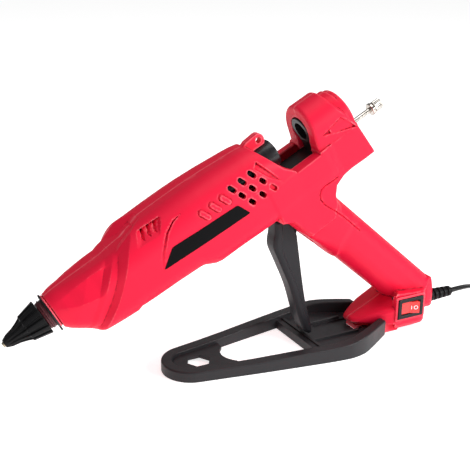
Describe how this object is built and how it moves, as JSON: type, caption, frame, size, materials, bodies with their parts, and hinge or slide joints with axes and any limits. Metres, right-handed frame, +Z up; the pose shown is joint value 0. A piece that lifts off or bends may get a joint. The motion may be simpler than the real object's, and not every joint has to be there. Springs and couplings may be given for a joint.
{
  "type": "glue gun",
  "caption": "Mains hot-melt glue gun with red housing, long trigger, rear flow screw, rocker switch in the foot of the grip, coiled cord and a slide-off stand.",
  "frame": {"origin": "on the surface the gun and its stand rest on, below the middle of their box, without the cord", "axes": "+Z up, +X from nozzle towards the rear of the gun, +Y to the gun's right side"},
  "size_m": [0.5201, 0.0891, 0.2025],
  "materials": {
    "red_housing": "satin moulded plastic",
    "steel_screws": "zinc plated",
    "label_black": "plain dark label",
    "brass": "turned",
    "black_rubber": "moulded",
    "seal_rubber": "silicone",
    "black_plastic": "fine grain",
    "aluminium": "cast",
    "support_ring": "heat resistant",
    "heater_plate": "ceramic",
    "film": "polyimide film",
    "spring_steel": "spring steel",
    "fuse_body": "smooth",
    "wire_blue": "insulation",
    "pin_steel": "ground",
    "chrome": "nickel plated",
    "switch_black": "smooth",
    "rocker_red": "translucent look",
    "terminal_brass": "stamped",
    "cord_black": "flat twin cord",
    "plug_black": "moulded",
    "tie_grey": "smooth",
    "stand_plastic": "fine grain"
  },
  "bodies": {
    "housing": {"left_shell": "red_housing", "right_shell": "red_housing", "housing_screws": "steel_screws", "side_labels": "label_black", "nozzle": "brass", "nozzle_shroud": "black_rubber", "nozzle_seal": "seal_rubber", "front_plate": "black_plastic", "melt_chamber": "aluminium", "front_support": "support_ring", "rear_support": "support_ring", "heater_cores": "heater_plate", "heater_film": "film", "heater_clamp": "spring_steel", "thermal_fuse": "fuse_body", "inlet_sleeve": "black_rubber", "sleeve_clamp": "spring_steel", "wiring": "wire_blue", "rear_guide_bush": "black_plastic", "trigger_pin": "pin_steel", "trigger_spring": "spring_steel", "adjuster_nut": "pin_steel", "switch_body": "switch_black", "switch_terminals": "terminal_brass", "cord_clamp": "black_plastic", "clamp_screws": "steel_screws", "strain_relief": "black_rubber", "power_cord": "cord_black", "cord_coil": "cord_black", "cord_tie": "tie_grey", "mains_plug": "plug_black", "plug_blades": "terminal_brass"},
    "trigger": {"trigger": "black_plastic", "drive_pin": "pin_steel"},
    "carriage": {"feed_carriage": "black_plastic", "gripper_pin": "pin_steel"},
    "gripper": {"stick_gripper": "spring_steel"},
    "pad": {"stop_pad": "black_rubber"},
    "screw": {"adjuster_screw": "chrome", "adjuster_knob": "chrome"},
    "rocker": {"rocker": "rocker_red"},
    "stand": {"stand": "stand_plastic"}
  },
  "joints": [
    {"name": "trigger_pivot", "type": "hinge", "parent": "housing", "child": "trigger", "pos_m": [0.03399, 0, 0.11436], "axis": [0, -1, 0], "range_deg": [0, 25], "stiffness_Nm_per_rad": 0.2, "springref_deg": -28.65},
    {"name": "feed_slide", "type": "slide", "parent": "housing", "child": "carriage", "axis": [-0.8813, 0, -0.4726], "range_m": [0, 0.0101]},
    {"name": "gripper_tilt", "type": "hinge", "parent": "carriage", "child": "gripper", "pos_m": [0.06342, 0, 0.16486], "axis": [0, -1, 0], "range_deg": [0, 5.1]},
    {"name": "pad_slide", "type": "slide", "parent": "housing", "child": "pad", "axis": [0.8813, 0, 0.4726], "range_m": [0, 0.0042]},
    {"name": "adjuster_turn", "type": "hinge", "parent": "pad", "child": "screw", "pos_m": [0.09444, 0, 0.17514], "axis": [0.8813, 0, 0.4726], "range_deg": [0, 2160]},
    {"name": "rocker_tilt", "type": "hinge", "parent": "housing", "child": "rocker", "pos_m": [0.1426, -0.021, 0.0222], "axis": [0, 0, 1], "range_deg": [0, 24]},
    {"name": "stand_slide", "type": "slide", "parent": "housing", "child": "stand", "axis": [-1, 0, 0], "range_m": [0, 0.055]}
  ],
  "couplings": [
    {"joint": "feed_slide", "follows": "trigger_pivot", "m_per_rad": 0.023},
    {"joint": "gripper_tilt", "follows": "trigger_pivot", "ratio": 0.2},
    {"joint": "adjuster_turn", "follows": "pad_slide", "rad_per_m": 8975.9}
  ]
}
